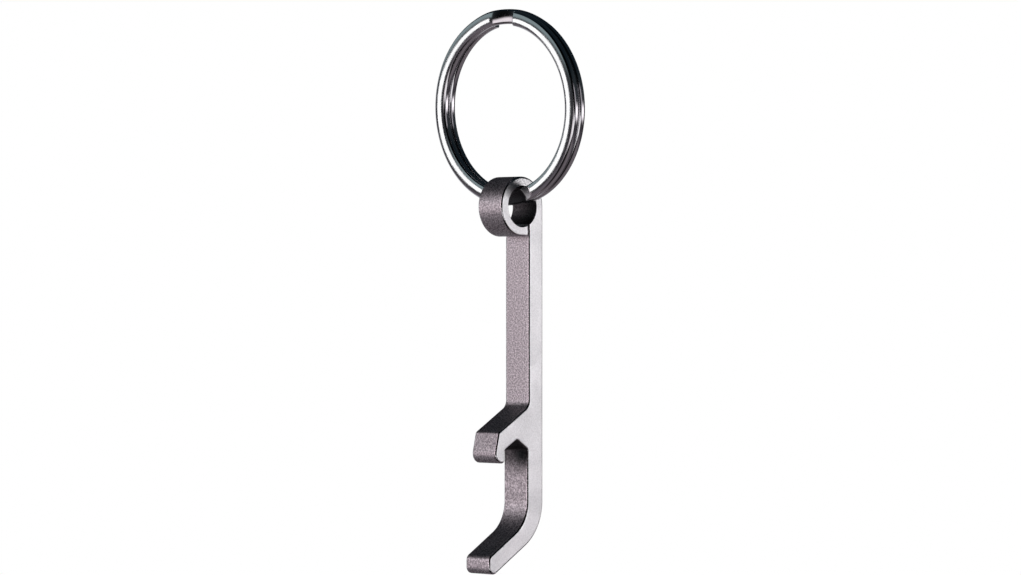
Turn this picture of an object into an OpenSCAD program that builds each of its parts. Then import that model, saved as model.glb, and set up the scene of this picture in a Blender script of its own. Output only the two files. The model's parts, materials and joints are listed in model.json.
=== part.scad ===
// Keychain bottle opener: a one-piece opener bar hanging by its eye from a split ring.
// Millimetres. +Z is up, +X is the side of the bar's back, and Y runs along the eye's bore.
// The origin is where the ring hangs: the top of its inner surface.

/* [Split ring] */
// Outer diameter of the ring
ring_od = 30; // [29:0.5:32]
// Width of the wire along the ring's radius
wire_radial = 2.3; // [2:0.1:2.3]
// Thickness of one turn along the ring's axis
wire_axial = 1.3; // [1.1:0.05:1.3]
// Radius of the wire's rounded edges
wire_edge_r = 0.4; // [0.2:0.05:0.5]
// Gap between the two turns
turn_gap = 0.04; // [0.02:0.01:0.06]
// Angle from the top of the ring to each end of the wire
wire_end_angle = 10.5; // [8:0.5:16]
// Outward rise of the wire where it crosses from one turn to the other
crossing_rise = 0.2; // [0:0.05:0.3]

/* [How the opener hangs] */
// Distance from the centre of the ring to the centre of the eye
ring_to_eye = 15.2; // [14.9:0.05:15.2]
// Lean of the ring away from the bar's back
ring_lean = 2.4; // [0:0.1:3]
// Sideways play taken up by the ring in the eye
eye_play = 0.3; // [0:0.05:0.3]

/* [Opener blank] */
// Thickness of the plate that the opener is cut from
plate_t = 5.15; // [4:0.05:6]
// Radius of the corners round the bar's sharp angles
nose_r = 0.6; // [0.2:0.05:0.8]

/* [Eye] */
// Outer diameter of the eye
eye_od = 9.2; // [9:0.1:10]
// Diameter of the eye's bore
eye_bore_d = 6.2; // [6.2:0.1:6.6]
// Width of the slit between the end of the curl and the bar
slit_w = 0.28; // [0.2:0.02:0.5]

/* [Bar] */
// Thickness of the bar between the eye and the tooth
upper_bar_t = 3.1; // [2.8:0.05:3.2]
// Thickness of the bar behind the mouth
lower_bar_t = 3.45; // [3:0.05:3.6]

/* [Tooth] */
// Depth below the eye's centre where the bar's face turns into the tooth's slope
tooth_slope_z = 30.68; // [28:0.01:31]
// Angle of the slope below the horizontal
tooth_slope = 30.5; // [27:0.5:33]
// Radius of the bend between the bar and the slope
tooth_bend_r = 1.6; // [1:0.1:2.5]
// Reach of the tooth's shoulder in front of the eye's centre
tooth_reach = 5.17; // [4.9:0.01:5.4]
// Reach of the tooth's point in front of the eye's centre
point_reach = 5.88; // [5.6:0.01:6]
// Depth of the tooth's point below the eye's centre
point_z = 39.35; // [39.2:0.05:39.8]
// Width of the tooth's point
point_w = 2.05; // [1.95:0.05:2.2]
// Radius of the tooth's outer edge
point_outer_r = 1.4; // [1:0.05:1.45]
// Radius of the tooth's gripping edge
point_inner_r = 0.5; // [0.3:0.05:0.5]

/* [Throat] */
// Depth of the throat's sides below the eye's centre
throat_side_z = 37.4; // [37:0.05:37.6]
// Depth of the throat's peak below the eye's centre
throat_peak_z = 35.85; // [35.6:0.05:36.2]
// Distance of the peak in front of the eye's centre
throat_peak_x = 1.15; // [0.9:0.05:1.4]
// Radius of the throat's corners
throat_r = 0.4; // [0.2:0.05:0.45]

/* [Lip] */
// Reach of the lip in front of the eye's centre
lip_reach = 7.25; // [6.5:0.05:8]
// Depth below the eye's centre where the lip's upper face would meet the bar
lip_top_z = 48.5; // [48:0.1:50]
// Angle of the lip below the horizontal
lip_angle = 31.2; // [28:0.1:34]
// Thickness of the lip
lip_t = 2.95; // [2.6:0.05:3.1]
// Radius of the bend inside the mouth
lip_inner_bend_r = 5.6; // [4:0.1:6]
// Radius of the bend on the bar's back
lip_outer_bend_r = 8; // [6:0.1:9]
// Radius of the corners at the lip's end
lip_end_r = 1.05; // [0.6:0.05:1.1]

/* [Hidden] */

// Frame: the ring's centre and the eye's centre, from the hanging point down
ring_r = ring_od / 2;
ring_inner_r = ring_r - wire_radial;
hang_r = ring_inner_r + crossing_rise;
eye_x = sin(ring_lean) * (hang_r + ring_to_eye) - eye_play;
eye_z = -cos(ring_lean) * (hang_r + ring_to_eye);

// Ring: the wire runs from one end, nearly twice round, to the other end
turn_offset = (wire_axial + turn_gap) / 2;
end_clearance = 1.5;
crossing_start = 360 - wire_end_angle;
crossing_end = 360 + wire_end_angle - end_clearance;
wire_start = wire_end_angle;
wire_finish = 720 - wire_end_angle - end_clearance;
rise_half_angle = 30;
ring_step = 5;
corner_steps = 2;

// Opener: round arcs are drawn with one point every few degrees
arc_step = 6;
bore_overlap = 1;
bore_facets = 96;
eye_r = eye_od / 2;
bore_r = eye_bore_d / 2;
back_x = eye_r;
front_x = back_x - upper_bar_t;
throat_back_x = back_x - lower_bar_t;
curl_end_x = front_x - slit_w;
slit_top_z = -0.7 * bore_r;
shoulder_z = -tooth_slope_z - (front_x + tooth_reach) * tan(tooth_slope);
point_inner_x = point_w - point_reach;
shoulder_line_z = 37.6;
lip_end_top_z = -lip_top_z - (throat_back_x + lip_reach) * tan(lip_angle);
lip_drop = lip_t / cos(lip_angle);
lip_end_low_z = lip_end_top_z - lip_drop;
lip_back_z = lip_end_low_z + (back_x + lip_reach) * tan(lip_angle);

// Smooth step from 0 to 1
function ease(t) = let (c = min(1, max(0, t))) c * c * (3 - 2 * c);

// Place of the wire's centre along the ring's axis, at an angle along the wire
function wire_shift(a) =
    turn_offset * (2 * ease((a - crossing_start) / (crossing_end - crossing_start)) - 1);

// Outward rise of the wire near the crossing
function wire_rise(a) =
    let (from_top = abs(a - 360))
    from_top < rise_half_angle ? crossing_rise * (1 + cos(180 * from_top / rise_half_angle)) / 2 : 0;

// Points of the wire's rounded section, as [radial, axial] offsets from its centre
wire_section = [
    for (quarter = [0:3], k = [0:corner_steps])
        let (
            a = 90 * quarter + 90 * k / corner_steps,
            side_r = quarter == 0 || quarter == 3 ? 1 : -1,
            side_x = quarter < 2 ? 1 : -1
        )
        [side_r * (wire_radial / 2 - wire_edge_r) + wire_edge_r * cos(a),
         side_x * (wire_axial / 2 - wire_edge_r) + wire_edge_r * sin(a)]
];

// A point of the wire's surface, about the ring's centre, at angle a clockwise from the top
function wire_point(a, offset) =
    let (r = ring_r - wire_radial / 2 + wire_rise(a) + offset[0])
    [wire_shift(a) + offset[1], -r * sin(a), r * cos(a)];

// Cut one corner [x, z, radius] to an arc between its two neighbours
function rounded_corner(before, corner, after) =
    let (
        p = [corner[0], corner[1]],
        u = [before[0], before[1]] - p,
        v = [after[0], after[1]] - p,
        to_before = u / norm(u),
        to_after = v / norm(v),
        half = acos(to_before * to_after) / 2,
        middle = (to_before + to_after) / norm(to_before + to_after),
        centre = p + middle * corner[2] / sin(half),
        start = p + to_before * corner[2] / tan(half) - centre,
        finish = p + to_after * corner[2] / tan(half) - centre,
        a0 = atan2(start[1], start[0]),
        turn = (atan2(finish[1], finish[0]) - a0 + 540) % 360 - 180,
        steps = max(2, ceil(abs(turn) / arc_step))
    )
    corner[2] <= 0 ? [p] : [
        for (k = [0:steps])
            let (a = a0 + turn * k / steps)
            centre + corner[2] * [cos(a), sin(a)]
    ];

function rounded_outline(corners) =
    let (n = len(corners))
    [
        for (i = [0:n - 1])
            each rounded_corner(corners[(i + n - 1) % n], corners[i], corners[(i + 1) % n])
    ];

// The eye's outer arc, from the bar's back over the top and round to the end of the curl
curl_end_angle = 360 - acos(curl_end_x / eye_r);
curl_steps = 60;
eye_arc = [
    for (k = [1:curl_steps])
        let (a = curl_end_angle * k / curl_steps)
        [eye_r * cos(a), eye_r * sin(a)]
];

// Corners from the slit's top, inside the bore, down the mouth side, round the lip and up the back
profile_corners = [
    [curl_end_x, slit_top_z, 0],
    [front_x, slit_top_z, 0],
    [front_x, -tooth_slope_z, tooth_bend_r],
    [-tooth_reach, shoulder_z, nose_r],
    [-point_reach, -shoulder_line_z, point_outer_r],
    [-point_reach, -point_z, point_outer_r],
    [point_inner_x, -point_z, point_inner_r],
    [point_inner_x, -throat_side_z, throat_r],
    [-throat_peak_x, -throat_peak_z, throat_r],
    [throat_back_x, -throat_side_z, throat_r],
    [throat_back_x, -lip_top_z, lip_inner_bend_r],
    [-lip_reach, lip_end_top_z, lip_end_r],
    [-lip_reach, lip_end_low_z, lip_end_r],
    [back_x, lip_back_z, lip_outer_bend_r],
    [back_x, 0, 0]
];

profile = concat(eye_arc, rounded_outline(profile_corners));

// Two turns of flat wire with rounded edges, crossing over at the top
module split_ring() {
    n = len(wire_section);
    steps = ceil((wire_finish - wire_start) / ring_step);
    points = [
        for (i = [0:steps], offset = wire_section)
            wire_point(wire_start + (wire_finish - wire_start) * i / steps, offset)
    ];
    start_cap = [[for (j = [0:n - 1]) n - 1 - j]];
    end_cap = [[for (j = [0:n - 1]) steps * n + j]];
    sides = [
        for (i = [0:steps - 1], j = [0:n - 1])
            let (next = (j + 1) % n)
            [i * n + j, i * n + next, (i + 1) * n + next, (i + 1) * n + j]
    ];
    color("gainsboro")
        rotate([0, -ring_lean, 0])
            translate([0, 0, -hang_r])
                polyhedron(points, concat(start_cap, sides, end_cap), convexity = 6);
}

// Eye, bar, tooth, throat and lip cut from one plate, with the eye bored through
module opener_body() {
    color([0.66, 0.62, 0.62])
        translate([eye_x, 0, eye_z])
            rotate([90, 0, 0])
                difference() {
                    linear_extrude(plate_t, center = true)
                        polygon(profile);
                    cylinder(r = bore_r, h = plate_t + 2 * bore_overlap, center = true, $fn = bore_facets);
                }
}

split_ring();
opener_body();
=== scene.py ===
"""Keychain bottle opener: a bead-blasted opener bar hanging by its eye from a polished split ring.

The object's lengths are in millimetres until MM turns them into metres, and the stage's are in metres.
The frame is the CAD's: +Z is up, +X is the side of the bar's back, Y runs along the eye's bore, and the
origin is where the ring hangs.
"""
import json
import math

import bpy
from mathutils import Matrix, Vector


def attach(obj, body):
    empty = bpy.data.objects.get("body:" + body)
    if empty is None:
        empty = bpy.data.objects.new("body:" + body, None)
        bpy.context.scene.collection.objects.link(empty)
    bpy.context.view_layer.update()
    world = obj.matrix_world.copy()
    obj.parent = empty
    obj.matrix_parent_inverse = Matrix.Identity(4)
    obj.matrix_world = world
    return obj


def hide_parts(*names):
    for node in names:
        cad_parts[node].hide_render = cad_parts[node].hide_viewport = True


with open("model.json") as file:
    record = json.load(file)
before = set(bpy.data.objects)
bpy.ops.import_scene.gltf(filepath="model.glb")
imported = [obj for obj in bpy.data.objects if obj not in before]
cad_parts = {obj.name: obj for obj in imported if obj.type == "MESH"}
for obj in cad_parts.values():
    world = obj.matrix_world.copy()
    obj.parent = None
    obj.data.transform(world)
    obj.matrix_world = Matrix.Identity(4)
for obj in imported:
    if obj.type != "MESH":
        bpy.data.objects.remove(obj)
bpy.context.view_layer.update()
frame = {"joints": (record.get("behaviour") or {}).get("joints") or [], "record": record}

MM = 0.001


# ---------------------------------------------------------------------------------------------------
# Dimensions
# ---------------------------------------------------------------------------------------------------

# Split ring
RING_OD = 30.0
WIRE_RADIAL = 2.3
WIRE_AXIAL = 1.3
TURN_GAP = 0.04
WIRE_END_ANGLE = 10.5
END_CLEARANCE = 1.5
CROSSING_RISE = 0.2
RISE_HALF_ANGLE = 30.0
RING_LEAN = 2.4
WIRE_CORNER_R = 0.36
FACE_TILT = math.radians(9)
RIM_TILT = math.radians(14)
WIRE_END_R = 0.1

# Opener blank
PLATE_T = 5.15
NOSE_R = 0.6
EDGE_R = 0.35
BORE_EDGE_R = 0.14
SLIT_EDGE_R = 0.12

# Eye
EYE_R = 4.6
BORE_R = 3.1
SLIT_W = 0.28
SLIT_CORNER_R = 0.16

# Bar, as distances in front of or behind the eye's centre
BACK_X = EYE_R
FRONT_X = BACK_X - 3.1
THROAT_BACK_X = BACK_X - 3.45

# Tooth
TOOTH_SLOPE_Z = 30.68
TOOTH_SLOPE = math.radians(30.5)
TOOTH_BEND_R = 1.6
TOOTH_REACH = 5.17
POINT_REACH = 5.88
POINT_Z = 39.35
POINT_W = 2.05
POINT_OUTER_R = 1.4
POINT_INNER_R = 0.5
SHOULDER_LINE_Z = 37.6

# Throat
THROAT_SIDE_Z = 37.4
THROAT_PEAK_Z = 35.85
THROAT_PEAK_X = 1.15
THROAT_R = 0.4

# Lip
LIP_REACH = 7.25
LIP_TOP_Z = 48.5
LIP_ANGLE = math.radians(31.2)
LIP_T = 2.95
LIP_INNER_BEND_R = 5.6
LIP_OUTER_BEND_R = 8.0
LIP_END_R = 1.05

# Sampling of the meshes
ARC_STEP = math.radians(3)
LINE_STEP = 0.5
FILLET_STEPS = 7
RING_STEP = 1.25
SECTION_STEPS = 8
WIRE_END_STEPS = 5
EDGE_BLEND = 0.6

# Photograph's view, in metres from the eye, with the lens for a 36 mm sensor
CAMERA_AZIMUTH = math.radians(-46.1)
CAMERA_DISTANCE = 0.616
CAMERA_BELOW_EYE = 0.01245
CAMERA_LENS = 141.04
CAMERA_SENSOR = 36.0

# Floor, in metres
FLOOR_Z = -0.34
FLOOR_RADIUS = 3.4
FLOOR_STEPS = 96
FLOOR_GLOW = 0.6

# Directions
UP = Vector((0, 0, 1))
BORE_DIRECTION = Vector((0, 1, 0))

# The part of a noise's range that a material uses
NOISE_BAND = (0.3, 0.7)

# Blasted metal, with noise scales per metre and bumps as (strength, depth in metres)
GRAIN_SCALE = 4200
GRAIN_BUMP = (0.7, 0.04 * MM)
CLOUD_SCALE = 260

# Its colours over the grain, as (place, colour), on the plate's cut sides and on its flat faces
CUT_COLORS = (
    (0.34, (0.31, 0.30, 0.31)),
    (0.5, (0.55, 0.535, 0.55)),
    (0.66, (0.83, 0.81, 0.825)),
)
FLAT_COLORS = (
    (0.34, (0.70, 0.69, 0.70)),
    (0.66, (0.82, 0.81, 0.82)),
)

# How squarely a surface faces along the bore, from 0 on a cut side to 1 on a flat face: where the flat
# face's colour comes in, and the polish that takes roughness off about the middle of a rounded edge
FLAT_FACE_BAND = (0.55, 0.9)
BLASTED_ROUGHNESS = (0.44, 0.50)
EDGE_POLISH = 0.27
EDGE_MIDDLE = 0.6
EDGE_FADE = (0.2, 0.5)

# Painted shade in the bore and in the throat's notch, as (reach in mm, fade in mm, darkest share)
BORE_PAINTED_SHADE = (3.12, 0.1, 0.15)
NOTCH_PAINTED_SHADE = (1.7, 3.5, 0.1)

# Ring steel
WAVE_SCALE = 300
WAVE_BUMP = (0.5, 0.02 * MM)
WEAR_SCALE = 2600
WEAR_BUMP = (0.4, 0.003 * MM)
STEEL_COLORS = (
    (0.3, (0.82, 0.82, 0.83)),
    (0.6, (0.88, 0.88, 0.89)),
)
STEEL_ROUGHNESS = (0.08, 0.15)

# Soft panels of the studio, each as (azimuth, half-width, elevation, half-height, softness, colour).
# Azimuths are in degrees from straight behind the object, positive to the camera's right.
STUDIO_PANELS = (
    (-28, 42, -10, 18, 6, (0.38, 0.39, 0.41)),
    (-88, 26, 13, 8, 6, (0.20, 0.25, 0.26)),
    (-90, 28, -18, 9, 6, (0.08, 0.07, 0.08)),
    (-130, 12, -11, 7, 8, (0.95, 0.87, 0.91)),
    (95, 16, -4, 6, 8, (1.5, 1.4, 1.47)),
    (128, 18, 2, 18, 6, (0.35, 0.33, 0.36)),
    (163, 17, -20, 10, 6, (0.95, 0.92, 0.95)),
    (-163, 17, -20, 10, 6, (0.95, 0.92, 0.95)),
)

# Light of the room outside the panels, as (elevation in degrees, colour)
ROOM_LIGHT = (
    (-90, (0.075, 0.062, 0.072)),
    (-42, (0.14, 0.12, 0.132)),
    (-33, (0.15, 0.13, 0.145)),
    (-22, (0.05, 0.045, 0.055)),
    (-10, (0.03, 0.026, 0.03)),
    (8, (0.025, 0.028, 0.032)),
    (22, (0.02, 0.026, 0.03)),
    (37, (0.006, 0.01, 0.014)),
    (90, (0.006, 0.01, 0.014)),
)

# How far round from behind the room's light starts and stops fading, and what is left of it there
ROOM_REACH = (100, 140)
CAMERA_SIDE_SHARE = 0.08

# Soft boxes, each as (name, azimuth, height above the eye, distance, width, height, radiance, colour,
# the piece it lights). Lengths are in metres.
SOFT_BOXES = (
    ("left_key", -115, 0.05, 0.6, 0.255, 0.34, 4.1, (1.0, 0.84, 0.9), "opener"),
    ("right_key", 107, 0.0, 0.36, 0.23, 0.112, 2.2, (0.98, 1.0, 1.0), "opener"),
    ("left_strip", -90, 0.0, 0.6, 0.17, 0.085, 1.3, (1.0, 1.0, 1.0), "ring"),
)


# ---------------------------------------------------------------------------------------------------
# Meshes
# ---------------------------------------------------------------------------------------------------

def smooth_step(t):
    """Smooth step from 0 to 1."""
    t = min(1.0, max(0.0, t))
    return t * t * (3 - 2 * t)


def make_piece(name, points, faces):
    """A smooth-shaded mesh object at the row's origin."""
    mesh = bpy.data.meshes.new(name)
    mesh.from_pydata([point * MM for point in points], [], faces)
    mesh.shade_smooth()
    piece = bpy.data.objects.new(name, mesh)
    bpy.context.scene.collection.objects.link(piece)
    return piece


def rounded_corner(before, corner, after):
    """Points of the arc that rounds one corner (x, z, radius) between its two neighbours."""
    middle = Vector(corner[:2])
    radius = corner[2]
    if radius == 0:
        return [middle]
    to_before = (Vector(before[:2]) - middle).normalized()
    to_after = (Vector(after[:2]) - middle).normalized()
    half = to_before.angle(to_after) / 2
    centre = middle + (to_before + to_after).normalized() * radius / math.sin(half)
    start = middle + to_before * radius / math.tan(half) - centre
    finish = middle + to_after * radius / math.tan(half) - centre
    first = math.atan2(start.y, start.x)
    turn = (math.atan2(finish.y, finish.x) - first + 3 * math.pi) % (2 * math.pi) - math.pi
    steps = max(4, math.ceil(abs(turn) / ARC_STEP))
    return [
        centre + radius * Vector((math.cos(first + turn * k / steps), math.sin(first + turn * k / steps)))
        for k in range(steps + 1)
    ]


def arc_points(radius, first, last):
    """Plain points of an arc about the eye's centre, as corners with no radius."""
    steps = math.ceil(abs(last - first) / ARC_STEP)
    angles = [first + (last - first) * k / steps for k in range(steps + 1)]
    return [(radius * math.cos(a), radius * math.sin(a), 0.0) for a in angles]


def opener_corners():
    """Corners (x, z, radius) of the opener's side view, anticlockwise from the back of the eye."""
    curl_end_x = FRONT_X - SLIT_W
    curl_end_angle = 2 * math.pi - math.acos(curl_end_x / EYE_R)
    curl_low_z = EYE_R * math.sin(curl_end_angle)
    curl_high_angle = -math.acos(curl_end_x / BORE_R)
    bar_high_angle = -math.acos(FRONT_X / BORE_R)
    shoulder_z = -TOOTH_SLOPE_Z - (FRONT_X + TOOTH_REACH) * math.tan(TOOTH_SLOPE)
    point_inner_x = POINT_W - POINT_REACH
    lip_end_top_z = -LIP_TOP_Z - (THROAT_BACK_X + LIP_REACH) * math.tan(LIP_ANGLE)
    lip_end_low_z = lip_end_top_z - LIP_T / math.cos(LIP_ANGLE)
    lip_back_z = lip_end_low_z + (BACK_X + LIP_REACH) * math.tan(LIP_ANGLE)
    clear = 1.5 * ARC_STEP
    corners = arc_points(EYE_R, 0, curl_end_angle - clear)
    corners.append((curl_end_x, curl_low_z, SLIT_CORNER_R))
    corners.append((curl_end_x, BORE_R * math.sin(curl_high_angle), SLIT_CORNER_R))
    corners += arc_points(BORE_R, curl_high_angle - clear, bar_high_angle - 2 * math.pi + clear)
    corners += [
        (FRONT_X, BORE_R * math.sin(bar_high_angle), SLIT_CORNER_R),
        (FRONT_X, -TOOTH_SLOPE_Z, TOOTH_BEND_R),
        (-TOOTH_REACH, shoulder_z, NOSE_R),
        (-POINT_REACH, -SHOULDER_LINE_Z, POINT_OUTER_R),
        (-POINT_REACH, -POINT_Z, POINT_OUTER_R),
        (point_inner_x, -POINT_Z, POINT_INNER_R),
        (point_inner_x, -THROAT_SIDE_Z, THROAT_R),
        (-THROAT_PEAK_X, -THROAT_PEAK_Z, THROAT_R),
        (THROAT_BACK_X, -THROAT_SIDE_Z, THROAT_R),
        (THROAT_BACK_X, -LIP_TOP_Z, LIP_INNER_BEND_R),
        (-LIP_REACH, lip_end_top_z, LIP_END_R),
        (-LIP_REACH, lip_end_low_z, LIP_END_R),
        (BACK_X, lip_back_z, LIP_OUTER_BEND_R),
    ]
    return corners


def sampled_outline(corners):
    """The closed outline with its corners rounded and its long lines cut into short ones."""
    count = len(corners)
    outline = []
    for i, corner in enumerate(corners):
        outline += rounded_corner(corners[i - 1], corner, corners[(i + 1) % count])
    dense = []
    for i, point in enumerate(outline):
        following = outline[(i + 1) % len(outline)]
        cuts = max(1, math.ceil((following - point).length / LINE_STEP))
        dense += [point.lerp(following, k / cuts) for k in range(cuts)]
    return dense


def outward_normals(outline):
    """Normals of an anticlockwise outline, each the mean of its two neighbouring lines'."""
    count = len(outline)
    normals = []
    for i, point in enumerate(outline):
        back = (point - outline[i - 1]).normalized()
        ahead = (outline[(i + 1) % count] - point).normalized()
        along = (back + ahead).normalized()
        normals.append(Vector((along.y, -along.x)))
    return normals


def plain_edge_radius(point):
    """How far the plate's edge is rounded over at this place of the outline."""
    from_eye = point.length
    if from_eye < BORE_R + 0.1:
        return BORE_EDGE_R
    on_curl_end = from_eye < EYE_R + 0.1 and abs(point.x - (FRONT_X - SLIT_W)) < 0.1 and point.y < 0
    return SLIT_EDGE_R if on_curl_end else EDGE_R


def edge_radii(outline):
    """Edge radii along the outline, blended over EDGE_BLEND so that they change smoothly."""
    count = len(outline)
    plain = [plain_edge_radius(point) for point in outline]
    radii = []
    for i in range(count):
        total = plain[i]
        weight = 1.0
        for step in (1, -1):
            k = i
            travelled = 0.0
            while True:
                following = (k + step) % count
                travelled += (outline[following] - outline[k]).length
                k = following
                if travelled >= EDGE_BLEND:
                    break
                share = 1 - travelled / EDGE_BLEND
                total += plain[k] * share
                weight += share
        radii.append(total / weight)
    return radii


def build_opener():
    """The opener as one skin: side wall, rounded edges and two flat faces."""
    eye = Vector(frame["joints"][0]["pos_m"]) / MM
    outline = sampled_outline(opener_corners())
    outward = outward_normals(outline)
    radii = edge_radii(outline)
    count = len(outline)
    points, normals = [], []
    for side in (-1, 1):
        for k in range(FILLET_STEPS + 1):
            turn = math.pi / 2 * k / FILLET_STEPS
            for place, normal, radius in zip(outline, outward, radii):
                inset = radius * (1 - math.cos(turn))
                spot = place - normal * inset
                y = side * (PLATE_T / 2 - radius * (1 - math.sin(turn)))
                points.append(eye + Vector((spot.x, y, spot.y)))
                normals.append(Vector((
                    normal.x * math.cos(turn), side * math.sin(turn), normal.y * math.cos(turn))))
    rows = FILLET_STEPS + 1
    faces = []
    for i in range(count):
        j = (i + 1) % count
        faces.append((j, i, rows * count + i, rows * count + j))
        for k in range(FILLET_STEPS):
            near, far = k * count, (rows + k) * count
            faces.append((near + i, near + j, near + count + j, near + count + i))
            faces.append((far + j, far + i, far + count + i, far + count + j))
    faces.append([FILLET_STEPS * count + i for i in range(count)])
    faces.append([(rows + FILLET_STEPS) * count + i for i in reversed(range(count))])
    piece = make_piece("opener_body_skin", points, faces)
    piece.data.normals_split_custom_set_from_vertices(normals)
    return piece


def quarter_section():
    """A quarter of the wire's section, as (radial, axial) offsets from the rim's middle to the face's middle.

    Three arcs that meet smoothly: the crowned rim, the rounded corner and the crowned face.
    """
    half_r = WIRE_RADIAL / 2
    half_x = WIRE_AXIAL / 2
    rim_sin, rim_drop = math.sin(RIM_TILT), 1 - math.cos(RIM_TILT)
    face_sin, face_drop = math.sin(FACE_TILT), 1 - math.cos(FACE_TILT)
    spare_x = half_x - WIRE_CORNER_R * (1 - face_drop - rim_sin)
    spare_r = half_r - WIRE_CORNER_R * (1 - rim_drop - face_sin)
    shared = rim_sin * face_sin - rim_drop * face_drop
    rim_r = (spare_x * face_sin - spare_r * face_drop) / shared
    face_r = (spare_r * rim_sin - spare_x * rim_drop) / shared
    arcs = (
        (rim_r, 0.0, RIM_TILT),
        (WIRE_CORNER_R, RIM_TILT, math.pi / 2 - FACE_TILT),
        (face_r, math.pi / 2 - FACE_TILT, math.pi / 2),
    )
    spot = Vector((half_r, 0.0))
    quarter = [spot]
    for radius, first, last in arcs:
        centre = spot - radius * Vector((math.cos(first), math.sin(first)))
        for k in range(1, SECTION_STEPS + 1):
            turn = first + (last - first) * k / SECTION_STEPS
            spot = centre + radius * Vector((math.cos(turn), math.sin(turn)))
            quarter.append(spot)
    return quarter


def whole_section():
    """The wire's closed section, mirrored from its quarter."""
    quarter = quarter_section()
    half = quarter + [Vector((-spot.x, spot.y)) for spot in reversed(quarter[:-1])]
    return half + [Vector((spot.x, -spot.y)) for spot in reversed(half[1:-1])]


def wire_stations():
    """Places along the wire as (angle, inset): the rounded start, the even body and the rounded finish."""
    first = WIRE_END_ANGLE
    last = 720 - WIRE_END_ANGLE - END_CLEARANCE
    end_turn = math.degrees(WIRE_END_R / (RING_OD / 2))
    opening = []
    for k in range(WIRE_END_STEPS):
        turn = math.pi / 2 * k / WIRE_END_STEPS
        opening.append((first + end_turn * (1 - math.cos(turn)), WIRE_END_R * (1 - math.sin(turn))))
    length = last - first - 2 * end_turn
    steps = round(length / RING_STEP)
    body = [(first + end_turn + length * k / steps, 0.0) for k in range(steps + 1)]
    closing = [(first + last - angle, inset) for angle, inset in reversed(opening)]
    return opening + body + closing


def wire_centre(angle):
    """Radius and axial shift of the wire's centre, at an angle in degrees from the top of the ring."""
    crossing_start = 360 - WIRE_END_ANGLE
    crossing_end = 360 + WIRE_END_ANGLE - END_CLEARANCE
    crossed = smooth_step((angle - crossing_start) / (crossing_end - crossing_start))
    shift = (WIRE_AXIAL + TURN_GAP) / 2 * (2 * crossed - 1)
    from_top = min(RISE_HALF_ANGLE, abs(angle - 360))
    rise = CROSSING_RISE * (1 + math.cos(math.pi * from_top / RISE_HALF_ANGLE)) / 2
    return RING_OD / 2 - WIRE_RADIAL / 2 + rise, shift


def build_ring():
    """Two turns of flat wire swept about the ring's centre, crossing over at the top."""
    hang_r = RING_OD / 2 - WIRE_RADIAL + CROSSING_RISE
    hang = Vector(frame["record"]["mounts"][0]["pos_m"]) / MM
    lean = Matrix.Rotation(math.radians(-RING_LEAN), 3, "Y")
    section = whole_section()
    stations = wire_stations()
    points = []
    for angle, inset in stations:
        centre_r, shift = wire_centre(angle)
        a = math.radians(angle)
        for spot in section:
            r = centre_r + spot.x * (1 - inset / (WIRE_RADIAL / 2))
            x = shift + spot.y * (1 - inset / (WIRE_AXIAL / 2))
            points.append(hang + lean @ Vector((x, -r * math.sin(a), r * math.cos(a) - hang_r)))
    count = len(section)
    faces = []
    for i in range(len(stations) - 1):
        for j in range(count):
            k = (j + 1) % count
            faces.append((i * count + k, i * count + j, (i + 1) * count + j, (i + 1) * count + k))
    faces.append(list(range(count)))
    faces.append([(len(stations) - 1) * count + j for j in reversed(range(count))])
    return make_piece("split_ring_skin", points, faces)


# ---------------------------------------------------------------------------------------------------
# Materials
# ---------------------------------------------------------------------------------------------------

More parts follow.
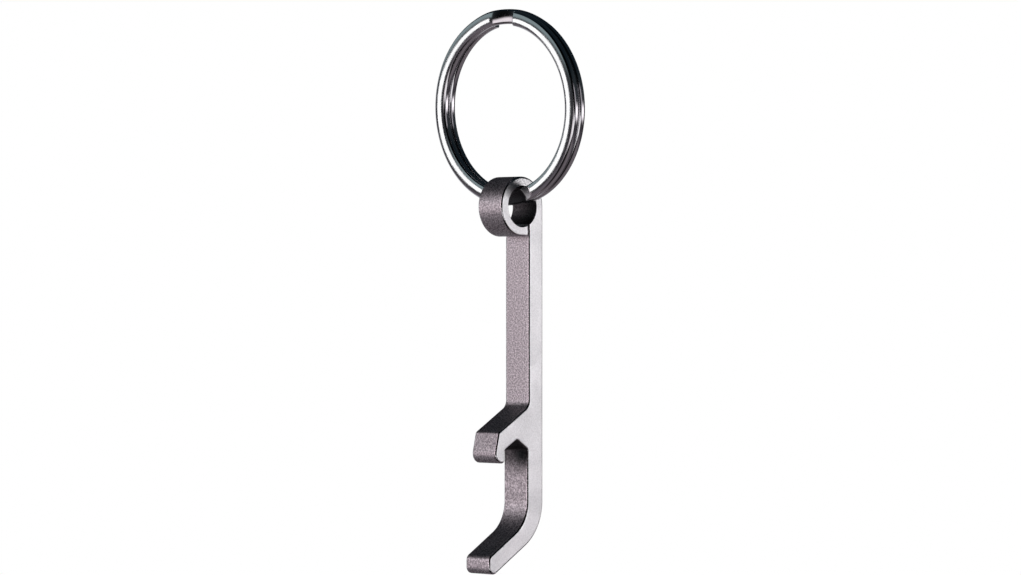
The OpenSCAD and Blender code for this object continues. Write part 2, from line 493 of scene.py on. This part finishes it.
class Graph:
    """A node tree with short calls for the nodes that the materials and the world use."""

    def __init__(self, owner):
        owner.use_nodes = True
        self.tree = owner.node_tree
        self.tree.nodes.clear()

    def add(self, kind, **settings):
        node = self.tree.nodes.new(kind)
        for key, value in settings.items():
            setattr(node, key, value)
        return node

    def join(self, output, target):
        self.tree.links.new(output, target)

    def noise(self, coordinates, scale, detail, roughness):
        node = self.add("ShaderNodeTexNoise")
        node.inputs["Scale"].default_value = scale
        node.inputs["Detail"].default_value = detail
        node.inputs["Roughness"].default_value = roughness
        self.join(coordinates, node.inputs["Vector"])
        return node.outputs["Fac"]

    def ramp(self, value, stops):
        node = self.add("ShaderNodeValToRGB")
        elements = node.color_ramp.elements
        while len(elements) < len(stops):
            elements.new(0.5)
        for element, (place, color) in zip(elements, stops):
            element.position = place
            element.color = (*color, 1.0)
        self.join(value, node.inputs["Fac"])
        return node.outputs["Color"]

    def remap(self, value, low, high, to_low, to_high, interpolation="SMOOTHSTEP"):
        """The value carried from the range low..high to the range to_low..to_high, clamped at both ends."""
        node = self.add("ShaderNodeMapRange", interpolation_type=interpolation)
        numbers = {"From Min": low, "From Max": high, "To Min": to_low, "To Max": to_high}
        for socket, number in numbers.items():
            node.inputs[socket].default_value = number
        self.join(value, node.inputs["Value"])
        return node.outputs["Result"]

    def math(self, operation, first, second=0.0):
        node = self.add("ShaderNodeMath", operation=operation)
        for socket, value in zip(node.inputs, (first, second)):
            if isinstance(value, (int, float)):
                socket.default_value = value
            else:
                self.join(value, socket)
        return node.outputs["Value"]

    def dot(self, vector, direction):
        node = self.add("ShaderNodeVectorMath", operation="DOT_PRODUCT")
        self.join(vector, node.inputs[0])
        node.inputs[1].default_value = direction
        return node.outputs["Value"]

    def multiply_add(self, *terms):
        """First term times the second plus the third, if there is one. Each is a socket or a triple."""
        node = self.add("ShaderNodeVectorMath", operation="MULTIPLY_ADD")
        for socket, term in zip(node.inputs, terms):
            if isinstance(term, tuple):
                socket.default_value = term
            else:
                self.join(term, socket)
        return node.outputs["Vector"]

    def blend(self, share, first, second):
        """The first colour where the share is 0, the second where it is 1."""
        node = self.add("ShaderNodeMix", data_type="RGBA")
        self.join(share, node.inputs["Factor"])
        self.join(first, node.inputs[6])
        self.join(second, node.inputs[7])
        return node.outputs[2]

    def painted_shade(self, place, centre, reach, fade, darkest):
        """Painted shade about a line along the bore: darkest within the reach in mm, fading to 1 beyond it.
        """
        offset = self.add("ShaderNodeVectorMath", operation="SUBTRACT")
        self.join(place, offset.inputs[0])
        offset.inputs[1].default_value = centre
        flat = self.multiply_add(offset.outputs["Vector"], (1.0, 0.0, 1.0))
        distance = self.add("ShaderNodeVectorMath", operation="LENGTH")
        self.join(flat, distance.inputs[0])
        return self.remap(distance.outputs["Value"], reach * MM, (reach + fade) * MM, darkest, 1.0)

    def window(self, angle, middle, half_size, softness):
        """1 within half_size degrees of the middle, falling to 0 over the softness."""
        offset = self.math("ABSOLUTE", self.math("SUBTRACT", angle, math.radians(middle)))
        inner = math.radians(half_size - softness / 2)
        outer = math.radians(half_size + softness / 2)
        return self.remap(offset, inner, outer, 1.0, 0.0)

    def bump(self, height, strength, distance, normal=None):
        node = self.add("ShaderNodeBump")
        node.inputs["Strength"].default_value = strength
        node.inputs["Distance"].default_value = distance
        self.join(height, node.inputs["Height"])
        if normal is not None:
            self.join(normal, node.inputs["Normal"])
        return node.outputs["Normal"]


def new_material(name):
    """An empty node material, its graph and its Principled shader."""
    material = bpy.data.materials.new(name)
    graph = Graph(material)
    shader = graph.add("ShaderNodeBsdfPrincipled")
    output = graph.add("ShaderNodeOutputMaterial")
    graph.join(shader.outputs["BSDF"], output.inputs["Surface"])
    return material, graph, shader


def blasted_metal():
    """Bead-blasted metal: the plate's flat faces are even and pale, its cut sides darker and coarser, with
    painted shade in the bore and the throat's notch.
    """
    material, graph, shader = new_material("blasted_metal")
    coordinates = graph.add("ShaderNodeTexCoord")
    place = coordinates.outputs["Object"]
    grain = graph.noise(place, GRAIN_SCALE, 1.0, 0.6)
    clouds = graph.noise(place, CLOUD_SCALE, 3.0, 0.55)
    faces_along_bore = graph.math("ABSOLUTE", graph.dot(coordinates.outputs["Normal"], BORE_DIRECTION))
    flat_face = graph.remap(faces_along_bore, *FLAT_FACE_BAND, 0.0, 1.0)
    eye = Vector(frame["joints"][0]["pos_m"])
    notch = eye + MM * Vector((-THROAT_PEAK_X, 0, -THROAT_SIDE_Z))
    cut_color = graph.ramp(grain, CUT_COLORS)
    # Painted shade: the cut sides' colour is darkened in the bore and about the throat's notch
    cut_color = graph.multiply_add(cut_color, graph.painted_shade(place, eye, *BORE_PAINTED_SHADE))
    cut_color = graph.multiply_add(cut_color, graph.painted_shade(place, notch, *NOTCH_PAINTED_SHADE))
    flat_color = graph.ramp(grain, FLAT_COLORS)
    graph.join(graph.blend(flat_face, cut_color, flat_color), shader.inputs["Base Color"])
    cloudy = graph.remap(clouds, *NOISE_BAND, *BLASTED_ROUGHNESS)
    from_edge = graph.math("ABSOLUTE", graph.math("SUBTRACT", faces_along_bore, EDGE_MIDDLE))
    polish = graph.remap(from_edge, *EDGE_FADE, EDGE_POLISH, 0.0)
    graph.join(graph.math("SUBTRACT", cloudy, polish), shader.inputs["Roughness"])
    graph.join(graph.bump(grain, *GRAIN_BUMP), shader.inputs["Normal"])
    shader.inputs["Metallic"].default_value = 1.0
    return material


def ring_steel():
    """Polished steel wire with faint waviness and fine wear."""
    material, graph, shader = new_material("ring_steel")
    place = graph.add("ShaderNodeTexCoord").outputs["Object"]
    waves = graph.noise(place, WAVE_SCALE, 3.0, 0.5)
    wear = graph.noise(place, WEAR_SCALE, 2.0, 0.6)
    graph.join(graph.ramp(wear, STEEL_COLORS), shader.inputs["Base Color"])
    graph.join(graph.remap(waves, *NOISE_BAND, *STEEL_ROUGHNESS), shader.inputs["Roughness"])
    wavy = graph.bump(waves, *WAVE_BUMP)
    graph.join(graph.bump(wear, *WEAR_BUMP, wavy), shader.inputs["Normal"])
    shader.inputs["Metallic"].default_value = 1.0
    return material


def pale_floor():
    """Matt pale grey with a glow of its own, because no lamp lights the floor."""
    material, graph, shader = new_material("pale_floor")
    shader.inputs["Base Color"].default_value = (0.9, 0.9, 0.9, 1.0)
    shader.inputs["Roughness"].default_value = 0.8
    shader.inputs["Emission Color"].default_value = (1.0, 1.0, 1.0, 1.0)
    shader.inputs["Emission Strength"].default_value = FLOOR_GLOW
    return material


# ---------------------------------------------------------------------------------------------------
# Stage
# ---------------------------------------------------------------------------------------------------

def horizontal(azimuth):
    """Unit vector towards a camera at this azimuth."""
    return Vector((math.sin(azimuth), -math.cos(azimuth), 0.0))


def build_world():
    """White backdrop for the camera. The studio's light is soft panels about the horizon."""
    world = bpy.data.worlds.new("studio")
    bpy.context.scene.world = world
    graph = Graph(world)
    direction = graph.add("ShaderNodeTexCoord").outputs["Generated"]
    behind = -horizontal(CAMERA_AZIMUTH)
    rightward = behind.cross(UP)
    azimuth = graph.math("ARCTAN2", graph.dot(direction, rightward), graph.dot(direction, behind))
    elevation = graph.math("ARCSINE", graph.dot(direction, UP))

    room_place = graph.remap(elevation, -math.pi / 2, math.pi / 2, 0.0, 1.0, "LINEAR")
    room = graph.ramp(room_place, [((degrees + 90) / 180, color) for degrees, color in ROOM_LIGHT])
    near, far = (math.radians(degrees) for degrees in ROOM_REACH)
    sideways = graph.math("ABSOLUTE", azimuth)
    share = graph.remap(sideways, near, far, 1.0, CAMERA_SIDE_SHARE)
    total = graph.multiply_add(room, share)
    for middle, half_width, height, half_height, softness, color in STUDIO_PANELS:
        across = graph.window(azimuth, middle, half_width, softness)
        upward = graph.window(elevation, height, half_height, softness)
        total = graph.multiply_add(color, graph.math("MULTIPLY", across, upward), total)

    studio = graph.add("ShaderNodeBackground")
    graph.join(total, studio.inputs["Color"])
    white = graph.add("ShaderNodeBackground")
    white.inputs["Color"].default_value = (1.0, 1.0, 1.0, 1.0)
    path = graph.add("ShaderNodeLightPath")
    mix = graph.add("ShaderNodeMixShader")
    output = graph.add("ShaderNodeOutputWorld")
    graph.join(path.outputs["Is Camera Ray"], mix.inputs["Fac"])
    graph.join(studio.outputs["Background"], mix.inputs[1])
    graph.join(white.outputs["Background"], mix.inputs[2])
    graph.join(mix.outputs["Shader"], output.inputs["Surface"])


def build_soft_boxes(lit):
    """Soft boxes round the object, each lighting only the piece it is set on."""
    eye = Vector(frame["joints"][0]["pos_m"])
    behind = -horizontal(CAMERA_AZIMUTH)
    rightward = behind.cross(UP)
    for name, azimuth, rise, distance, width, height, radiance, color, piece in SOFT_BOXES:
        angle = math.radians(azimuth)
        place = (behind * math.cos(angle) + rightward * math.sin(angle)) * distance + Vector((0, 0, rise))
        data = bpy.data.lights.new(name, "AREA")
        data.shape = "RECTANGLE"
        data.size = width
        data.size_y = height
        data.energy = radiance * math.pi * width * height
        data.color = color
        box = bpy.data.objects.new(name, data)
        box.location = eye + place
        box.rotation_euler = place.to_track_quat("Z", "Y").to_euler()
        bpy.context.scene.collection.objects.link(box)
        receivers = bpy.data.collections.new(name + "_receivers")
        receivers.objects.link(lit[piece])
        box.light_linking.receiver_collection = receivers


def build_floor():
    """A pale floor well below the hanging opener."""
    turns = [2 * math.pi * k / FLOOR_STEPS for k in range(FLOOR_STEPS)]
    rim = [(FLOOR_RADIUS * math.cos(turn), FLOOR_RADIUS * math.sin(turn), FLOOR_Z) for turn in turns]
    mesh = bpy.data.meshes.new("floor")
    mesh.from_pydata(rim, [], [list(range(FLOOR_STEPS))])
    mesh.materials.append(pale_floor())
    floor = bpy.data.objects.new("floor", mesh)
    bpy.context.scene.collection.objects.link(floor)
    floor.visible_glossy = False
    floor.visible_diffuse = False


def build_camera():
    """A level camera at the photograph's azimuth."""
    eye = Vector(frame["joints"][0]["pos_m"])
    data = bpy.data.cameras.new("camera")
    data.lens = CAMERA_LENS
    data.sensor_width = CAMERA_SENSOR
    data.clip_start = 0.01
    data.clip_end = 50.0
    camera = bpy.data.objects.new("camera", data)
    camera.location = eye + horizontal(CAMERA_AZIMUTH) * CAMERA_DISTANCE - Vector((0, 0, CAMERA_BELOW_EYE))
    camera.rotation_euler = (math.pi / 2, 0.0, CAMERA_AZIMUTH)
    bpy.context.scene.collection.objects.link(camera)
    bpy.context.scene.camera = camera


opener = build_opener()
opener.data.materials.append(blasted_metal())
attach(opener, "opener")
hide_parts("opener_body")

ring = build_ring()
ring.data.materials.append(ring_steel())
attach(ring, "ring")
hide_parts("split_ring")

build_world()
build_soft_boxes({"opener": opener, "ring": ring})
build_floor()
build_camera()
bpy.context.scene.view_settings.view_transform = "Standard"

bpy.context.view_layer.update()
